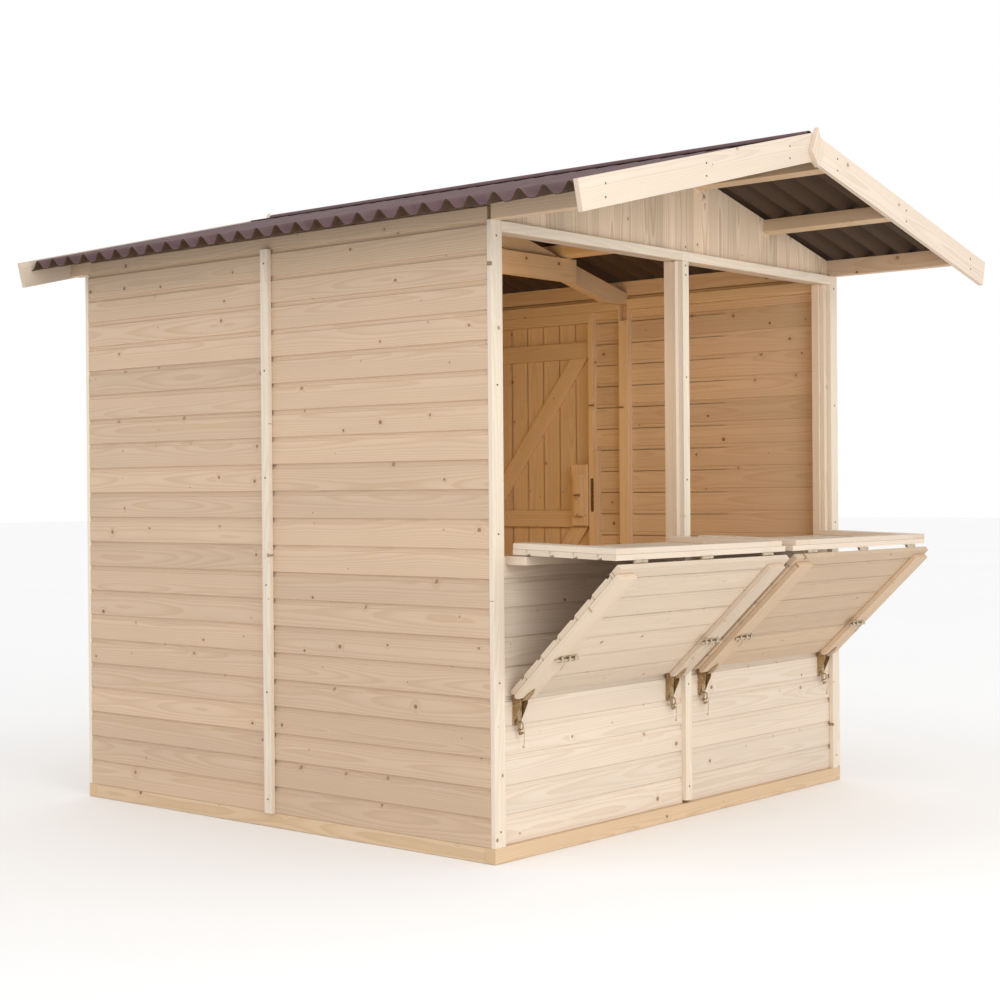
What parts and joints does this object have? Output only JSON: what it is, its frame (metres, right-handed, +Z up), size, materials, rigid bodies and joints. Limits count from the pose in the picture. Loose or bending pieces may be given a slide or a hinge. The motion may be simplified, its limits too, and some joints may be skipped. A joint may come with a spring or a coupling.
{
  "type": "wooden market stall",
  "caption": "Timber market stall cabin with a corrugated pitched roof, a side door and a front of fold-up leaves that form a propped serving counter.",
  "frame": {"origin": "middle of the cabin's footprint, on the underside of the middle floor joist, at ground level", "axes": "+X to the right seen from the counter side, +Y from the counter towards the back wall, +Z up"},
  "size_m": [2.596, 2.759, 2.3936],
  "materials": {
    "front_wood": "planed pale spruce, bare",
    "wall_wood": "planed spruce, bare",
    "frame_wood": "sawn spruce, bare",
    "floor_wood": "planed spruce, bare",
    "door_wood": "planed spruce, bare",
    "roof_sheet": "dark brown bitumen fibre sheet, matt",
    "bracket_metal": "yellow passivated, satin",
    "hinge_metal": "zinc plated, satin"
  },
  "bodies": {
    "stall": {"base_rails": "frame_wood", "floor_joists": "frame_wood", "floor_boards": "floor_wood", "left_wall_front_panel": "wall_wood", "left_wall_rear_panel": "wall_wood", "right_wall_front_panel": "wall_wood", "right_wall_beside_door": "wall_wood", "right_wall_over_door": "wall_wood", "front_wall_left_panel": "front_wood", "front_wall_right_panel": "front_wood", "back_wall_left_panel": "wall_wood", "back_wall_right_panel": "wall_wood", "front_gable": "front_wood", "back_gable": "wall_wood", "left_wall_frame": "frame_wood", "right_wall_frame": "frame_wood", "front_wall_frame": "front_wood", "back_wall_frame": "frame_wood", "corner_trims": "front_wood", "lintel_trims": "front_wood", "cover_strips": "front_wood", "side_fascias": "wall_wood", "sill_rails": "front_wood", "purlins": "frame_wood", "eave_beams": "wall_wood", "rafters": "frame_wood", "collar_tie": "frame_wood", "roof_sheet_left": "roof_sheet", "roof_sheet_right": "roof_sheet", "ridge_cap": "roof_sheet", "front_bargeboards": "front_wood", "back_bargeboards": "front_wood", "finials": "front_wood", "leaf_brackets": "bracket_metal", "door_hinge_plates": "hinge_metal"},
    "counter_left": {"counter_leaf_left": "front_wood", "leaf_hinges_left": "hinge_metal"},
    "prop_left": {"prop_leaf_left": "front_wood"},
    "counter_right": {"counter_leaf_right": "front_wood", "leaf_hinges_right": "hinge_metal"},
    "prop_right": {"prop_leaf_right": "front_wood"},
    "door": {"door_leaf": "door_wood", "door_battens": "door_wood", "door_lock": "door_wood", "door_hinges": "hinge_metal"}
  },
  "joints": [
    {"name": "counter_left_fold", "type": "hinge", "parent": "stall", "child": "counter_left", "pos_m": [-0.5045, -1.048, 0.971], "axis": [-1, 0, 0], "range_deg": [0, 91.7]},
    {"name": "prop_left_fold", "type": "hinge", "parent": "counter_left", "child": "prop_left", "pos_m": [-0.5045, -1.46567, 0.9536], "axis": [-1, 0, 0], "range_deg": [0, 134.54]},
    {"name": "counter_right_fold", "type": "hinge", "parent": "stall", "child": "counter_right", "pos_m": [0.5045, -1.048, 0.971], "axis": [-1, 0, 0], "range_deg": [0, 91.7]},
    {"name": "prop_right_fold", "type": "hinge", "parent": "counter_right", "child": "prop_right", "pos_m": [0.5045, -1.46567, 0.9536], "axis": [-1, 0, 0], "range_deg": [0, 134.54]},
    {"name": "door_swing", "type": "hinge", "parent": "stall", "child": "door", "pos_m": [1.0753, 0.943, 1], "axis": [0, 0, 1], "range_deg": [0, 110]}
  ],
  "couplings": [
    {"joint": "prop_left_fold", "follows": "counter_left_fold", "ratio": 1.4667},
    {"joint": "prop_right_fold", "follows": "counter_right_fold", "ratio": 1.4667}
  ]
}
